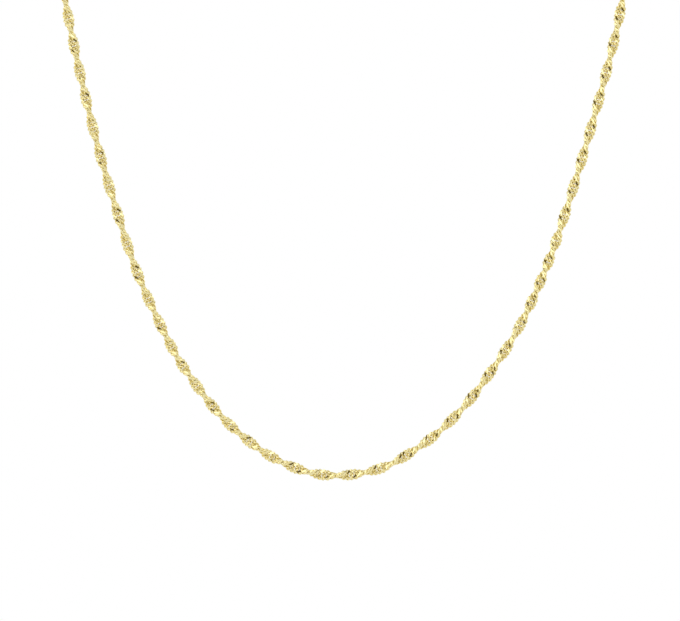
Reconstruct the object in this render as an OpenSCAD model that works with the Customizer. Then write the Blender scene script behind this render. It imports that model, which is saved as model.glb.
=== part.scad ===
// Singapore chain necklace: a fine twisted gold chain with a spring ring clasp,
// hanging in the form that it has when worn.
// Millimetres. +Z is up, and the front hangs in a plane that faces -Y.
// The origin is the middle of the neck opening, a little above the front's straight strands.

/* [Chain] */
// Width of the chain; its twisting fills a round tube of this diameter
chain_w = 1.9; // [1.2:0.1:2.4]
// Distance of the hanging front from the middle of the neck
front_depth = 50; // [46:1:54]

/* [Clasp] */
// Middle radius of the clasp's round case
case_r = 2.4; // [2.2:0.1:2.6]
// Thickness of the case
case_d = 1.2; // [1:0.1:1.4]
// Thickness of the bolt that closes the case
bolt_d = 0.7; // [0.5:0.1:0.8]
// Angle that the bolt bridges
bolt_angle = 50; // [40:5:70]
// Middle radius of the eye soldered to the case
eye_r = 0.8; // [0.7:0.05:0.85]
// Diameter of the thumb knob's round end
knob_d = 0.9; // [0.7:0.1:1.1]

/* [Jump rings] */
// Thickness of the jump rings' and the eye's wire
ring_wire = 0.35; // [0.3:0.05:0.4]
// Middle radius of the ring that holds the clasp
small_ring_r = 1.3; // [1.2:0.05:1.3]
// Middle radius of the ring that the clasp closes on
large_ring_r = 1.6; // [1.5:0.05:1.65]
// Clearance between wires that are hooked into each other
link_gap = 0.1; // [0.05:0.05:0.15]

/* [Hidden] */
gold = "#dccb8a";
$fn = 48;

// The route, chosen by hand. The nape stretch is the right side's, from the jump ring
// round the neck to the front, and the left side mirrors it. Each row is x, y, z.
NAPE_TO_FRONT = [
    [6, 45, 29.5],
    [19.5, 41.5, 29],
    [32, 34.5, 28.5],
    [42, 24.5, 27.5],
    [49.5, 12, 26],
    [53, -2, 24.5],
    [54, -16.5, 23],
    [54, -30.5, 20.5],
    [53.5, -42, 14],
    [52, -49, 2.5],
];
// The front's left strand from top to bottom, the lowest point, and the right strand
// from bottom to top. Each row is x, z.
LEFT_FRONT = [
    [-49.5, -11.5],
    [-47.5, -21],
    [-44.5, -33.5],
    [-41, -45.5],
    [-37, -57.5],
    [-31.5, -69.5],
    [-27.5, -76],
    [-21, -84],
    [-12.5, -90.5],
];
LOWEST = [-3.5, -93.5];
RIGHT_FRONT = [
    [6, -92.5],
    [13.5, -88.5],
    [19.5, -83.5],
    [25, -77],
    [31.5, -67],
    [36.5, -56],
    [40, -46],
    [43.5, -34.5],
    [47, -22],
    [49.5, -11.5],
];

function mirrored(points) = [for (p = points) [-p.x, p.y, p.z]];
function reversed(points) = [for (i = [len(points) - 1:-1:0]) points[i]];
function in_front_plane(rows) = [for (r = rows) [r[0], -front_depth, r[1]]];

ROUTE = concat(
    mirrored(NAPE_TO_FRONT),
    in_front_plane(LEFT_FRONT),
    in_front_plane([LOWEST]),
    in_front_plane(RIGHT_FRONT),
    reversed(NAPE_TO_FRONT)
);
last_point = len(ROUTE) - 1;
lowest_point = len(NAPE_TO_FRONT) + len(LEFT_FRONT);

// Past its ends the route goes on as its own mirror image, so it ends square to X.
function beyond(end, before) = [2 * end.x - before.x, before.y, before.z];
function route_point(i) =
    i < 0 ? beyond(ROUTE[0], ROUTE[1])
    : i > last_point ? beyond(ROUTE[last_point], ROUTE[last_point - 1])
    : ROUTE[i];

// A Catmull-Rom spline through the route's points. Its parameter is u: a whole number
// at each point, and between two points their segment's fraction.
function segment(u) = min(floor(u), last_point - 1);
function spline(u) =
    let (i = segment(u), t = u - i)
    let (a = route_point(i - 1), b = route_point(i), c = route_point(i + 1), d = route_point(i + 2))
    b + t * (c - a) / 2
    + t * t * (2 * a - 5 * b + 4 * c - d) / 2
    + t * t * t * (3 * b - 3 * c + d - a) / 2;
function spline_direction(u) =
    let (i = segment(u), t = u - i)
    let (a = route_point(i - 1), b = route_point(i), c = route_point(i + 1), d = route_point(i + 2))
    (c - a) / 2
    + t * (2 * a - 5 * b + 4 * c - d)
    + 3 * t * t * (3 * b - 3 * c + d - a) / 2;

// The tube's rings stand square to the route, with one corner away from the neck.
tube_sides = 8;
rings_per_segment = 2;
function unit(v) = v / norm(v);
function tube_ring(u) =
    let (
        middle = spline(u),
        along = unit(spline_direction(u)),
        across = unit(cross(along, [middle.x, middle.y, 0])),
        outward = cross(across, along)
    )
    [
        for (k = [0:tube_sides - 1])
            let (angle = 360 * k / tube_sides)
            middle + chain_w / 2 * (cos(angle) * outward + sin(angle) * across)
    ];

// One tube along the route from point number first to point number last
module tube(first, last) {
    ring_count = (last - first) * rings_per_segment + 1;
    points = [
        for (r = [0:ring_count - 1])
            each tube_ring(first + r / rings_per_segment)
    ];
    walls = [
        for (r = [0:ring_count - 2], k = [0:tube_sides - 1])
            let (here = r * tube_sides, next = (k + 1) % tube_sides)
            each [
                [here + k, here + next, here + tube_sides + next],
                [here + k, here + tube_sides + next, here + tube_sides + k],
            ]
    ];
    near_end = [for (k = [tube_sides - 1:-1:0]) k];
    far_end = [for (k = [0:tube_sides - 1]) (ring_count - 1) * tube_sides + k];
    polyhedron(points, concat([near_end], walls, [far_end]));
}

// The clasp group lies along X at the nape, from the small ring's far side at 0
// to the large ring's far side at group_l, and is moved to the middle.
wire_r = ring_wire / 2;
solder = ring_wire / 2;
small_ring_x = small_ring_r + wire_r;
eye_x = small_ring_x + small_ring_r - wire_r - link_gap + eye_r - wire_r;
case_x = eye_x + eye_r + wire_r - solder + case_r + case_d / 2;
large_ring_x = case_x + case_r - case_d / 2 - link_gap + large_ring_r - wire_r;
group_l = large_ring_x + large_ring_r + wire_r;
bolt_start = 20;
bolt_seat = 3;
knob_angle = bolt_start + bolt_angle + 10;
knob_l = 0.8;

module at_nape(x) {
    translate([x - group_l / 2, NAPE_TO_FRONT[0].y, NAPE_TO_FRONT[0].z]) children();
}

module upright() {
    rotate([90, 0, 0]) children();
}

// A round wire bent on a circle of radius r, over an angle from start
module bent_wire(r, d, start = 0, angle = 360) {
    rotate([0, 0, start]) rotate_extrude(angle = angle) translate([r, 0]) circle(d = d);
}

module chain_left() {
    color(gold) tube(0, lowest_point);
}

module chain_right() {
    color(gold) tube(lowest_point, last_point);
}

module ring_left() {
    color(gold) at_nape(small_ring_x) bent_wire(small_ring_r, ring_wire);
}

module ring_right() {
    color(gold) at_nape(large_ring_x) bent_wire(large_ring_r, ring_wire);
}

module thumb_knob() {
    rotate([0, 0, knob_angle]) translate([case_r, 0, 0]) {
        rotate([0, 90, 0]) cylinder(d = knob_d / 2, h = case_d / 2 + knob_l);
        translate([case_d / 2 + knob_l, 0, 0]) sphere(d = knob_d);
    }
}

module clasp() {
    color(gold) {
        at_nape(eye_x) upright() bent_wire(eye_r, ring_wire);
        at_nape(case_x) upright() {
            bent_wire(case_r, case_d, bolt_start + bolt_angle, 360 - bolt_angle);
            bent_wire(case_r, bolt_d, bolt_start - bolt_seat, bolt_angle + 2 * bolt_seat);
            thumb_knob();
        }
    }
}

chain_left();
chain_right();
ring_left();
clasp();
ring_right();
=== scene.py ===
"""A singapore chain necklace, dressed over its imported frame.

Metres, +Z is up, and the hanging front faces -Y. The CAD tubes of the two chain halves
are replaced by the real chain: interlocked curb links in a ribbon that twists as it goes.
"""

import math

import bpy
import numpy as np
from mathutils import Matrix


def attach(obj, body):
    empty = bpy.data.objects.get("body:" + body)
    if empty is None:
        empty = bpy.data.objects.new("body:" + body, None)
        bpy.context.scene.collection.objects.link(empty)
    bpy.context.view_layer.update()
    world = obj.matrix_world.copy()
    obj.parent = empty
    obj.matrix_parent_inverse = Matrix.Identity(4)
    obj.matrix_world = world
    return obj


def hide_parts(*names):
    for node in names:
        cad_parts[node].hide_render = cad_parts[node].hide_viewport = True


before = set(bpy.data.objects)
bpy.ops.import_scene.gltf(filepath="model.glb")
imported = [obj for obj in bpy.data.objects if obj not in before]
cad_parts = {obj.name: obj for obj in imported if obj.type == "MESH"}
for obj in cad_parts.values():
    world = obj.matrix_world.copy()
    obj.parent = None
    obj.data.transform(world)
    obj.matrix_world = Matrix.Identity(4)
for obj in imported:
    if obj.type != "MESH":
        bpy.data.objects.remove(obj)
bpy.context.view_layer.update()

MM = 0.001

# The photograph: its frame in pixels, the real size of a pixel, and where the frame lies
PHOTO_WIDTH_PX = 680
PHOTO_HEIGHT_PX = 621
PIXEL = 0.18 * MM
PHOTO_MIDDLE_PX = 343.75  # the column of the loop's middle, which is x = 0
PHOTO_TOP_Z = -8 * MM

# The camera. Its sensor is in millimetres, as its focal length is.
CAMERA_DISTANCE = 900 * MM
SENSOR_WIDTH = 36
CLIP_START = 10 * MM
CLIP_END = 50

# The floor, a disc below the hanging chain
FLOOR_Z = -200 * MM
FLOOR_RADIUS = 1200 * MM
FLOOR_SIDES = 64
FLOOR_COLOUR = (0.9, 0.9, 0.9)
FLOOR_ROUGHNESS = 0.8

# The studio as the metal sees it: the colour of its surroundings against the angle, in degrees,
# from the middle of the dark patch where the camera and its stand are. The angles hold across
# the patch. Lengthways it is stretched, and it slants from lower right to upper left.
SURROUNDINGS = [
    (0, (0.125, 0.097, 0.028)),
    (22, (0.145, 0.112, 0.032)),
    (27, (1.53, 1.53, 1.53)),
    (46, (1.53, 1.53, 1.53)),
    (66, (0.8, 0.8, 0.77)),
    (130, (0.8, 0.8, 0.77)),
    (160, (1.15, 1.15, 1.1)),
]
DARK_PATCH_MIDDLE = (-0.12, -0.963, 0.24)
DARK_PATCH_LENGTHWAYS = (-0.579, 0.264, 0.771)
DARK_PATCH_STRETCH = 0.45

# The gold. Its colour and its polish vary with two noises, each given as features for a metre
# and levels of detail. The polish's share is of a material's own roughness.
COLOUR_NOISE = (900, 2)
COLOUR_NOISE_LOW = 0.35
COLOUR_NOISE_HIGH = 0.65
GRAIN_NOISE = (9000, 3)
GRAIN_NOISE_LOW = 0.3
GRAIN_NOISE_HIGH = 0.7
SMOOTHEST_SHARE = 0.75
ROUGHEST_SHARE = 1.25
GRAIN_HEIGHT = 0.01 * MM

# The chain. A link is a rounded oblong of wire that swings above and below the ribbon's middle.
CHAIN_WIDTH = 1.9 * MM
WIRE = 0.37 * MM
SIDE_SPREAD = 0.15  # share by which the wire is pressed wider at a link's sides
LINK_COUNT = 588
LINK_HALF_LENGTH = 0.91 * MM
END_SQUARENESS = 0.139 * MM
FACE_CUT = 0.16 * MM  # depth of the flats cut on a link's faces
SIDE_CUT = 0.1 * MM  # and on its sides
LINK_HALF_WIDTH = (CHAIN_WIDTH - WIRE) / 2 + SIDE_CUT
SIDE_SQUARENESS = 0.059
LINK_RISE = 0.3 * MM
LINK_STEPS = 40  # along the wire
WIRE_SIDES = 14
SHARP_ANGLE = 32  # degrees between two faces from which their edge looks sharp

# The flats cut on each link: the link's angle at their middle, the degrees that they tilt from
# the ribbon's face towards its nearer edge and lean along the chain, and their depth
CUTS = [
    (45, 30, 10, FACE_CUT),
    (225, 30, 10, FACE_CUT),
    (135, 30, -1, FACE_CUT),
    (315, 30, -1, FACE_CUT),
    (90, 90, 30, SIDE_CUT),
    (270, 90, 30, SIDE_CUT),
]
CUT_REACH = 45  # degrees of the link's angle, on each side of the middle
CUT_SPREAD = 4  # degrees by which the single flats' tilts and leans differ

# The jump rings: from the route's ends to the middle of their wire, which the end links hook
# round, and the radians of a link's angle on each side of its end that give the end's direction
RING_PAST_END = 0.2625 * MM
END_REACH = 0.1

# The twist, seen from the front: each row is a stretch with its half turns and its length.
# The first stretch starts at the ribbon's first edge-on place in the photograph.
TWIST_SIGN = -1
FIRST_EDGE_ON = 139.3 * MM
TWIST_ROWS = [
    (4, 19.8 * MM),
    (6, 33.0 * MM),
    (2, 9.8 * MM),
    (2, 8.2 * MM),
    (2, 9.3 * MM),
    (3, 13.8 * MM),
    (3, 15.3 * MM),
    (5, 26.6 * MM),
    (3, 15.6 * MM),
    (2, 8.1 * MM),
    (2, 7.8 * MM),
    (7, 37.7 * MM),
    (1, 5.3 * MM),
]
HIDDEN_HALF_TURN = 5.13 * MM

# The route of part.scad, in metres
NAPE_TO_FRONT = [
    (0.006, 0.045, 0.0295),
    (0.0195, 0.0415, 0.029),
    (0.032, 0.0345, 0.0285),
    (0.042, 0.0245, 0.0275),
    (0.0495, 0.012, 0.026),
    (0.053, -0.002, 0.0245),
    (0.054, -0.0165, 0.023),
    (0.054, -0.0305, 0.0205),
    (0.0535, -0.042, 0.014),
    (0.052, -0.049, 0.0025),
]
FRONT_Y = -0.05
LEFT_FRONT = [
    (-0.0495, -0.0115),
    (-0.0475, -0.021),
    (-0.0445, -0.0335),
    (-0.041, -0.0455),
    (-0.037, -0.0575),
    (-0.0315, -0.0695),
    (-0.0275, -0.076),
    (-0.021, -0.084),
    (-0.0125, -0.0905),
]
LOWEST = (-0.0035, -0.0935)
RIGHT_FRONT = [
    (0.006, -0.0925),
    (0.0135, -0.0885),
    (0.0195, -0.0835),
    (0.025, -0.077),
    (0.0315, -0.067),
    (0.0365, -0.056),
    (0.04, -0.046),
    (0.0435, -0.0345),
    (0.047, -0.022),
    (0.0495, -0.0115),
]
SAMPLES_PER_SEGMENT = 250


def unit(v):
    return v / np.linalg.norm(v, axis=-1, keepdims=True)


class Route:
    """The chain's middle line with a frame that doesn't turn about it: along, inward, forward."""

    def __init__(self):
        left = [(-x, y, z) for x, y, z in NAPE_TO_FRONT]
        front = [(x, FRONT_Y, z) for x, z in LEFT_FRONT + [LOWEST] + RIGHT_FRONT]
        points = np.array(left + front + NAPE_TO_FRONT[::-1])
        beyond_start = points[1] * (-1, 1, 1) + (2 * points[0][0], 0, 0)
        beyond_end = points[-2] * (-1, 1, 1) + (2 * points[-1][0], 0, 0)
        points = np.vstack([beyond_start, points, beyond_end])
        t = np.linspace(0, 1, SAMPLES_PER_SEGMENT, endpoint=False)[:, None]
        pieces = []
        for a, b, c, d in zip(points, points[1:], points[2:], points[3:]):
            pieces.append(
                b
                + t * (c - a) / 2
                + t**2 * (2 * a - 5 * b + 4 * c - d) / 2
                + t**3 * (3 * b - 3 * c + d - a) / 2
            )
        self.place = np.vstack(pieces + [points[-2:-1]])
        steps = np.linalg.norm(np.diff(self.place, axis=0), axis=1)
        self.s = np.concatenate([[0], np.cumsum(steps)])
        self.length = self.s[-1]
        lowest = (len(left) + len(LEFT_FRONT)) * SAMPLES_PER_SEGMENT
        self.lowest_s = self.s[lowest]
        self.along = unit(np.gradient(self.place, self.s, axis=0))
        self.forward = self._carried(lowest, np.array([0.0, -1.0, 0.0]))
        self.inward = np.cross(self.forward, self.along)

    def _carried(self, start, direction):
        """The direction at the start, carried along the line both ways without turning about it."""
        carried = np.zeros_like(self.place)
        carried[start] = direction
        for step in (1, -1):
            d = direction
            i = start + step
            while 0 <= i < len(self.place):
                d = unit(d - np.dot(d, self.along[i]) * self.along[i])
                carried[i] = d
                i += step
        return carried

    def at(self, s, values):
        """The values at the distances s, from one row for each sample of the line."""
        return np.stack([np.interp(s, self.s, values[:, k]) for k in range(3)], axis=-1)

    def bend(self, s, inward, forward):
        """Points given in the straightened chain, bent to the route. Past its ends it is straight."""
        past = s - np.clip(s, 0, self.length)
        return (
            self.at(s, self.place)
            + past[..., None] * self.at(s, self.along)
            + inward[..., None] * self.at(s, self.inward)
            + forward[..., None] * self.at(s, self.forward)
        )


route = Route()


def turned(a, b, angle):
    return a * np.cos(angle) - b * np.sin(angle), a * np.sin(angle) + b * np.cos(angle)


def link_line(t):
    """A link's middle line from its angle t: along the ribbon, across it and out of its plane."""
    u = LINK_HALF_LENGTH * np.cos(t) + END_SQUARENESS * np.cos(3 * t)
    v = LINK_HALF_WIDTH * (np.sin(t) - SIDE_SQUARENESS * np.sin(3 * t)) / (1 + SIDE_SQUARENESS)
    w = -LINK_RISE * np.sin(2 * t)
    return u, v, w


# The jump ring's wire passes midway between the end of its link and the end of the next one.
link_reach = LINK_HALF_LENGTH + END_SQUARENESS
pitch = (route.length + 2 * (RING_PAST_END - link_reach)) / (LINK_COUNT - 2)
first_middle = link_reach - pitch / 2 - RING_PAST_END


def end_angle(s, end):
    """The ribbon's angle at which an end link is square to the jump ring's wire, which runs along Y.

    The link's end is at its angle end, 0 or half a turn.
    """
    along_y = np.array([0.0, 1.0, 0.0])
    y_inward = route.at(np.array([s]), route.inward)[0] @ along_y
    y_forward = route.at(np.array([s]), route.forward)[0] @ along_y
    _, before_v, before_w = link_line(end - END_REACH)
    _, after_v, after_w = link_line(end + END_REACH)
    return math.atan2(y_forward, y_inward) - math.atan2(after_v - before_v, before_w - after_w)


def whole_half_turns(wanted, near, span):
    """The angle that differs from wanted by half turns and is nearest to a hidden stretch's twist.

    The stretch starts at the angle near, and span is its length, with the sign of its twist.
    """
    usual = near + span / HIDDEN_HALF_TURN * math.pi
    return wanted + math.pi * round((usual - wanted) / math.pi)


def twist_knots():
    """Distances along the route and the ribbon's angle at each, 0 where it is flat to the front."""
    places = [FIRST_EDGE_ON]
    angles = [TWIST_SIGN * math.pi / 2]
    for half_turns, length in TWIST_ROWS:
        places.append(places[-1] + length)
        angles.append(angles[-1] + TWIST_SIGN * half_turns * math.pi)
    start = whole_half_turns(end_angle(0, math.pi), angles[0], -TWIST_SIGN * places[0])
    rest = route.length - places[-1]
    end = whole_half_turns(end_angle(route.length, 0), angles[-1], TWIST_SIGN * rest)
    return [0] + places + [route.length], [start] + angles + [end]


knot_places, knot_angles = twist_knots()


def ribbon_angle(s):
    return np.interp(s, knot_places, knot_angles)


def in_straight_chain(middles, u, v, w):
    """Points of links in the straightened chain: their distance along it, inward and forward."""
    s = middles + u
    inward, forward = turned(v, w, ribbon_angle(s))
    return np.stack([s, inward, forward], axis=-1)


def cut_flats(skin, t, middles, numbers):
    """Presses the links' skin onto the planes of their cuts. Returns where it did."""
    cut = np.zeros(skin.shape[:3], dtype=bool)
    for row, (cut_angle, tilt, lean, depth) in enumerate(CUTS):
        u, v, w = link_line(math.radians(cut_angle))
        every_spread = np.random.default_rng(row).uniform(-CUT_SPREAD, CUT_SPREAD, (LINK_COUNT, 2))
        spread = every_spread[numbers]
        tilt = np.radians(tilt + spread[:, 0])
        lean = np.radians(lean + spread[:, 1])
        side = math.copysign(1, v)
        face = math.copysign(1, w)
        inward, forward = turned(side * np.sin(tilt), face * np.cos(tilt), ribbon_angle(middles + u))
        normal = unit(np.stack([np.tan(lean), inward, forward], axis=-1))
        near = np.flatnonzero(np.abs(np.degrees(t) - cut_angle) < CUT_REACH)
        height = (skin[:, near] * normal[:, None, None]).sum(-1)
        excess = np.maximum(height - height.max(axis=(1, 2), keepdims=True) + depth, 0)
        skin[:, near] -= excess[..., None] * normal[:, None, None]
        cut[:, near] |= excess > 0
    return cut


def link_quads(link_count):
    """The faces of links whose vertices go round the wire at each step along it."""
    step = np.arange(LINK_STEPS)[:, None]
    side = np.arange(WIRE_SIDES)[None, :]
    next_step = (step + 1) % LINK_STEPS
    next_side = (side + 1) % WIRE_SIDES
    corners = [
        step * WIRE_SIDES + side,
        step * WIRE_SIDES + next_side,
        next_step * WIRE_SIDES + next_side,
        next_step * WIRE_SIDES + side,
    ]
    one_link = np.stack(corners, axis=-1).reshape(-1, 4)
    offsets = np.arange(link_count)[:, None, None] * LINK_STEPS * WIRE_SIDES
    return (one_link[None] + offsets).reshape(-1, 4)


def link_meshes(first, last):
    """The links from number first up to number last: vertices, faces, and which faces are cut flat."""
    numbers = np.arange(first, last)
    middles = first_middle + numbers * pitch
    t = 2 * math.pi * (np.arange(LINK_STEPS) + 0.5) / LINK_STEPS
    u, v, w = link_line(t)
    line = in_straight_chain(middles[:, None], u, v, w)

    wire_along = unit(np.roll(line, -1, axis=1) - np.roll(line, 1, axis=1))
    flat_inward, flat_forward = turned(0, 1, ribbon_angle(line[..., 0]))
    face = np.stack([np.zeros_like(flat_inward), flat_inward, flat_forward], axis=-1)
    up = unit(face - (face * wire_along).sum(-1, keepdims=True) * wire_along)
    across = np.cross(wire_along, up)

    around = 2 * math.pi * (np.arange(WIRE_SIDES) + 0.5) / WIRE_SIDES
    spread = 1 + SIDE_SPREAD * np.maximum(-np.cos(2 * t), 0)[:, None, None] ** 2
    skin = line[:, :, None, :] + WIRE / 2 * (
        spread * np.cos(around)[:, None] * up[:, :, None, :]
        + np.sin(around)[:, None] * across[:, :, None, :]
    )
    cut = cut_flats(skin, t, middles, numbers).reshape(-1)
    vertices = route.bend(skin[..., 0], skin[..., 1], skin[..., 2]).reshape(-1, 3)
    faces = link_quads(len(numbers))
    return vertices, faces, cut[faces].all(axis=1)


def chain_piece(name, first, last, node, wire_material, cut_material):
    vertices, faces, cut = link_meshes(first, last)
    mesh = bpy.data.meshes.new(name)
    mesh.from_pydata(vertices.tolist(), [], faces.tolist())
    mesh.shade_smooth()
    mesh.materials.append(wire_material)
    mesh.materials.append(cut_material)
    mesh.polygons.foreach_set("material_index", cut.astype(np.int32))
    mesh.set_sharp_from_angle(angle=math.radians(SHARP_ANGLE))
    piece = bpy.data.objects.new(name, mesh)
    bpy.context.scene.collection.objects.link(piece)
    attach(piece, "root")
    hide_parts(node)


def dress_chain(wire_material, cut_material):
    """All links. Each half of the chain is two pieces, one round the neck and one in front."""
    left_count = round((route.lowest_s - first_middle) / pitch)
    left_split = left_count // 2
    right_split = (left_count + LINK_COUNT) // 2
    for name, first, last, node in (
        ("links_left_nape", 0, left_split, "chain_left"),
        ("links_left_front", left_split, left_count, "chain_left"),
        ("links_right_front", left_count, right_split, "chain_right"),
        ("links_right_nape", right_split, LINK_COUNT, "chain_right"),
    ):
        chain_piece(name, first, last, node, wire_material, cut_material)


def dress_clasp(material):
    for node in ("ring_left", "clasp", "ring_right"):
        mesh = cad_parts[node].data
        mesh.materials.clear()
        mesh.materials.append(material)


def gold(name, dull, bright, roughness, grain):
    """Gold whose colour drifts from dull to bright over a millimetre, with a fine grain in its polish."""
    material = bpy.data.materials.new(name)
    material.use_nodes = True
    nodes = material.node_tree.nodes
    links = material.node_tree.links
    shader = nodes["Principled BSDF"]
    shader.inputs["Metallic"].default_value = 1.0
    place = nodes.new("ShaderNodeTexCoord")

    def noise(features_per_metre, detail):
        node = nodes.new("ShaderNodeTexNoise")
        node.inputs["Scale"].default_value = features_per_metre
        node.inputs["Detail"].default_value = detail
        links.new(place.outputs["Object"], node.inputs["Vector"])
        return node.outputs["Fac"]

    drift = nodes.new("ShaderNodeValToRGB")
    drift.color_ramp.elements[0].position = COLOUR_NOISE_LOW
    drift.color_ramp.elements[0].color = (*dull, 1)
    drift.color_ramp.elements[1].position = COLOUR_NOISE_HIGH
    drift.color_ramp.elements[1].color = (*bright, 1)
    links.new(noise(*COLOUR_NOISE), drift.inputs["Fac"])
    links.new(drift.outputs["Color"], shader.inputs["Base Color"])

    fine = noise(*GRAIN_NOISE)
    polish = nodes.new("ShaderNodeMapRange")
    polish.inputs["From Min"].default_value = GRAIN_NOISE_LOW
    polish.inputs["From Max"].default_value = GRAIN_NOISE_HIGH
    polish.inputs["To Min"].default_value = roughness * SMOOTHEST_SHARE
    polish.inputs["To Max"].default_value = roughness * ROUGHEST_SHARE
    links.new(fine, polish.inputs["Value"])
    links.new(polish.outputs["Result"], shader.inputs["Roughness"])

    bump = nodes.new("ShaderNodeBump")
    bump.inputs["Strength"].default_value = grain
    bump.inputs["Distance"].default_value = GRAIN_HEIGHT
    links.new(fine, bump.inputs["Height"])
    links.new(bump.outputs["Normal"], shader.inputs["Normal"])
    return material


def make_camera():
    """A camera in front of the hanging chain, whose picture is the photograph's frame."""
    data = bpy.data.cameras.new("camera")
    data.sensor_width = SENSOR_WIDTH
    data.lens = SENSOR_WIDTH * CAMERA_DISTANCE / (PHOTO_WIDTH_PX * PIXEL)
    data.clip_start = CLIP_START
    data.clip_end = CLIP_END
    camera = bpy.data.objects.new("camera", data)
    bpy.context.scene.collection.objects.link(camera)
    middle_x = (PHOTO_WIDTH_PX / 2 - PHOTO_MIDDLE_PX) * PIXEL
    middle_z = PHOTO_TOP_Z - PHOTO_HEIGHT_PX / 2 * PIXEL
    camera.location = (middle_x, FRONT_Y - CAMERA_DISTANCE, middle_z)
    camera.rotation_euler = (math.radians(90), 0, 0)
    bpy.context.scene.camera = camera


def make_floor():
    """A plain pale floor, out of the photograph's frame."""
    angles = [2 * math.pi * k / FLOOR_SIDES for k in range(FLOOR_SIDES)]
    corners = [(FLOOR_RADIUS * math.cos(a), FLOOR_RADIUS * math.sin(a), FLOOR_Z) for a in angles]
    mesh = bpy.data.meshes.new("floor")
    mesh.from_pydata(corners, [], [list(range(FLOOR_SIDES))])
    material = bpy.data.materials.new("pale_floor")
    material.use_nodes = True
    shader = material.node_tree.nodes["Principled BSDF"]
    shader.inputs["Base Color"].default_value = (*FLOOR_COLOUR, 1)
    shader.inputs["Roughness"].default_value = FLOOR_ROUGHNESS
    mesh.materials.append(material)
    floor = bpy.data.objects.new("floor", mesh)
    bpy.context.scene.collection.objects.link(floor)


def make_world():
    """White to the eye, with a dark patch round the camera and soft light for the metal to reflect."""
    world = bpy.data.worlds.new("studio")
    world.use_nodes = True
    bpy.context.scene.world = world
    nodes = world.node_tree.nodes
    links = world.node_tree.links
    direction = nodes.new("ShaderNodeTexCoord").outputs["Generated"]

    def cosine_to(other):
        node = nodes.new("ShaderNodeVectorMath")
        node.operation = "DOT_PRODUCT"
        node.inputs[1].default_value = other
        links.new(direction, node.inputs[0])
        return node.outputs["Value"]

    # The cosine to the patch's middle, plus a share of the squared cosine to its long direction
    lengthways = cosine_to(DARK_PATCH_LENGTHWAYS)
    squared = nodes.new("ShaderNodeMath")
    squared.operation = "MULTIPLY"
    links.new(lengthways, squared.inputs[0])
    links.new(lengthways, squared.inputs[1])
    nearness = nodes.new("ShaderNodeMath")
    nearness.operation = "MULTIPLY_ADD"
    nearness.inputs[1].default_value = DARK_PATCH_STRETCH
    links.new(squared.outputs["Value"], nearness.inputs[0])
    links.new(cosine_to(DARK_PATCH_MIDDLE), nearness.inputs[2])

    # A cosine from -1 to 1 becomes a place from 0 to 1 on the ramp.
    ramp_place = nodes.new("ShaderNodeMath")
    ramp_place.operation = "MULTIPLY_ADD"
    ramp_place.inputs[1].default_value = 0.5
    ramp_place.inputs[2].default_value = 0.5
    links.new(nearness.outputs["Value"], ramp_place.inputs[0])
    surroundings = nodes.new("ShaderNodeValToRGB")
    ramp = surroundings.color_ramp
    while len(ramp.elements) < len(SURROUNDINGS):
        ramp.elements.new(0.5)
    for element, (angle, colour) in zip(ramp.elements, reversed(SURROUNDINGS)):
        element.position = (1 + math.cos(math.radians(angle))) / 2
        element.color = (*colour, 1)
    links.new(ramp_place.outputs["Value"], surroundings.inputs["Fac"])

    eye = nodes.new("ShaderNodeLightPath")
    seen = nodes.new("ShaderNodeMix")
    seen.data_type = "RGBA"
    seen.inputs["B"].default_value = (1, 1, 1, 1)
    links.new(surroundings.outputs["Color"], seen.inputs["A"])
    links.new(eye.outputs["Is Camera Ray"], seen.inputs["Factor"])
    links.new(seen.outputs["Result"], nodes["Background"].inputs["Color"])
    nodes["Background"].inputs["Strength"].default_value = 1.0


wire_gold = gold(
    "drawn_gold", dull=(0.92, 0.795, 0.38), bright=(0.955, 0.855, 0.46), roughness=0.2, grain=0.15
)
cut_gold = gold(
    "cut_gold", dull=(0.94, 0.825, 0.41), bright=(0.965, 0.865, 0.48), roughness=0.08, grain=0.03
)
dress_chain(wire_gold, cut_gold)
dress_clasp(wire_gold)
make_floor()
make_camera()
make_world()
bpy.context.scene.view_settings.view_transform = "Standard"
